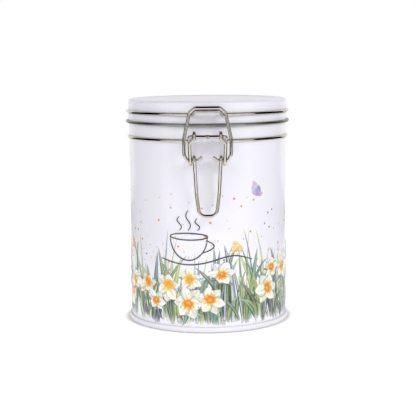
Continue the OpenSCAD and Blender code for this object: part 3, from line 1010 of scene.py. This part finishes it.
def build_tin():
    """Makes every piece and says which body it rides, what it replaces and its slot."""
    white, inside, bare = enamel(), lacquered_inside(), tinplate()
    metal, paint = plated_wire(), transfer_print()
    draw = wire_tree()
    pieces = [
        (make_body_shell(white, inside), "body", "body_shell", "enamel"),
        (make_base(white, inside), "body", "base_plate", "enamel"),
        (drawn_wire("body_ring_wire", body_wire_route(), metal, draw), "body", "body_wire", "wire"),
        (make_lid(white, bare), "lid", "lid_shell", "enamel"),
        (make_seal_carrier(inside), "lid", "seal_carrier", "tinplate"),
        (make_seal(silicone()), "lid", "seal_ring", "seal"),
        (drawn_wire("lid_ring_wire", lid_wire_route(), metal, draw), "lid", "lid_wire", "wire"),
        (drawn_wire("lever_wire", lever_route(), metal, draw), "lever", "latch_lever", "wire"),
        (drawn_wire("bail_wire", bail_route(), metal, draw), "bail", "latch_bail", "wire"),
    ]
    for piece, body, node, slot in pieces:
        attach(piece, body)
        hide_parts(node)
    bead = make_butt_weld(weld())
    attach(bead, "body")
    for piece in (painted_leaves(paint), painted_flowers(paint), painted_butterfly(paint),
                  painted_cup(paint), painted_specks(paint)):
        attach(piece, "body")


# ---- Studio ---------------------------------------------------------------

def reflection_card(name, size, place, turn, glow=0.0):
    """A dark card that shows only in gloss, so it edges the metal without dimming the tin."""
    bpy.ops.mesh.primitive_plane_add(size=1, location=place, rotation=turn)
    card = bpy.context.object
    card.name = name
    card.scale = (*size, 1)
    material, tree, shader = new_material(name + "_surface")
    shader.inputs["Base Color"].default_value = (0, 0, 0, 1)
    shader.inputs["Specular IOR Level"].default_value = 0
    shader.inputs["Emission Color"].default_value = (1, 1, 1, 1)
    shader.inputs["Emission Strength"].default_value = glow
    card.data.materials.append(material)
    card.visible_camera = card.visible_diffuse = card.visible_shadow = False


def soft_light(name, power, size, place):
    """A faintly violet softbox aimed at the tin, unseen in its gloss."""
    target = (0, 0, 0.08)
    light = bpy.data.lights.new(name, "AREA")
    light.shape = "RECTANGLE"
    light.size, light.size_y = size
    light.energy = power
    light.color = (0.98, 0.965, 1)
    lamp = bpy.data.objects.new(name, light)
    lamp.location = place
    lamp.rotation_euler = (Vector(target) - Vector(place)).to_track_quat("-Z", "Y").to_euler()
    lamp.visible_glossy = False
    bpy.context.scene.collection.objects.link(lamp)


def white_room():
    """A white world that lights matt surfaces less than it shows, so the softboxes can shape them."""
    seen, matt = 1.02, 0.41
    world = bpy.data.worlds.new("white_room")
    world.use_nodes = True
    tree = world.node_tree
    background = tree.nodes["Background"]
    background.inputs["Color"].default_value = (0.99, 0.982, 1, 1)
    path = tree.nodes.new("ShaderNodeLightPath")
    share = add_node(tree, "ShaderNodeMapRange")
    share.inputs["To Min"].default_value = seen
    share.inputs["To Max"].default_value = matt
    join(tree, (path, "Is Diffuse Ray", share, "Value"), (share, "Result", background, "Strength"))
    bpy.context.scene.world = world


def white_floor():
    """A white floor that glows, its glow dimmed right beside the tin as a painted contact shadow, so that it
    stands on a thin dark line.
    """
    half, near, far, level = 3, -0.5, 3.5, -0.0002
    # Painted shadow: between these radii from the tin's axis the floor glows less, a painted contact shadow
    # round the base.
    contact_r, clear_r, painted_shadow_glow, clear_glow = 0.055, 0.0595, 0.12, 0.74
    corners = [(-half, near, level), (half, near, level), (half, far, level), (-half, far, level)]
    mesh = bpy.data.meshes.new("floor")
    mesh.from_pydata(corners, [], [(0, 1, 2, 3)])
    floor = bpy.data.objects.new("floor", mesh)
    bpy.context.scene.collection.objects.link(floor)
    material, tree, shader = new_material("floor_surface")
    place = tree.nodes.new("ShaderNodeTexCoord")
    reach = add_node(tree, "ShaderNodeVectorMath", operation="LENGTH")
    glow = tree.nodes.new("ShaderNodeMapRange")
    for name, value in (("From Min", contact_r), ("From Max", clear_r),
                        ("To Min", painted_shadow_glow), ("To Max", clear_glow)):
        glow.inputs[name].default_value = value
    join(tree, (place, "Object", reach, 0), (reach, "Value", glow, "Value"),
         (glow, "Result", shader, "Emission Strength"))
    shader.inputs["Emission Color"].default_value = (1, 1, 1, 1)
    shader.inputs["Base Color"].default_value = (0.75, 0.75, 0.75, 1)
    shader.inputs["Specular IOR Level"].default_value = 0
    mesh.materials.append(material)


def build_studio():
    """White surroundings, dark cards that edge the metal, and three softboxes."""
    bpy.context.scene.view_settings.view_transform = "Standard"
    white_room()
    white_floor()
    upright, sideways, flat = (math.pi / 2, 0, 0), (0, math.pi / 2, 0), (0, 0, 0)
    for side in (-1, 1):
        reflection_card(f"side_flag_{side}", (1.5, 0.77), (side * 0.62, 0.125, 0.75), sideways)
        reflection_card(f"floor_flag_{side}", (0.40, 0.77), (side * 0.42, 0.125, 0.001), flat)
        soft_light(f"softbox_{side}", 3.8 + 1.2 * side, (0.4, 0.4), (side * 0.7, -0.8, 0.75))
    soft_light("front_softbox", 1.0, (0.4, 0.4), (-0.15, -0.8, 0.9))
    reflection_card("ceiling", (2.4, 2.2), (0, 0.1, 1.5), flat)
    reflection_card("camera_gap", (0.3, 2.1), (0, -0.99, 0.45), upright)
    reflection_card("low_front", (2.8, 0.6), (0, -1.0, -0.30), upright, 0.20)


def build_camera():
    """A little above the lid, 0.79 m in front of the axis, looking slightly down."""
    camera = bpy.data.cameras.new("camera")
    camera.sensor_width = 36
    camera.lens = 100.3
    view = bpy.data.objects.new("camera", camera)
    pitch, roll = math.radians(7.927), math.radians(-0.415)
    turn = Matrix.Rotation(math.pi / 2 - pitch, 4, "X") @ Matrix.Rotation(roll, 4, "Z")
    view.matrix_world = Matrix.Translation((0, -0.7896, 0.18435)) @ turn
    bpy.context.scene.collection.objects.link(view)
    bpy.context.scene.camera = view


build_tin()
build_studio()
build_camera()
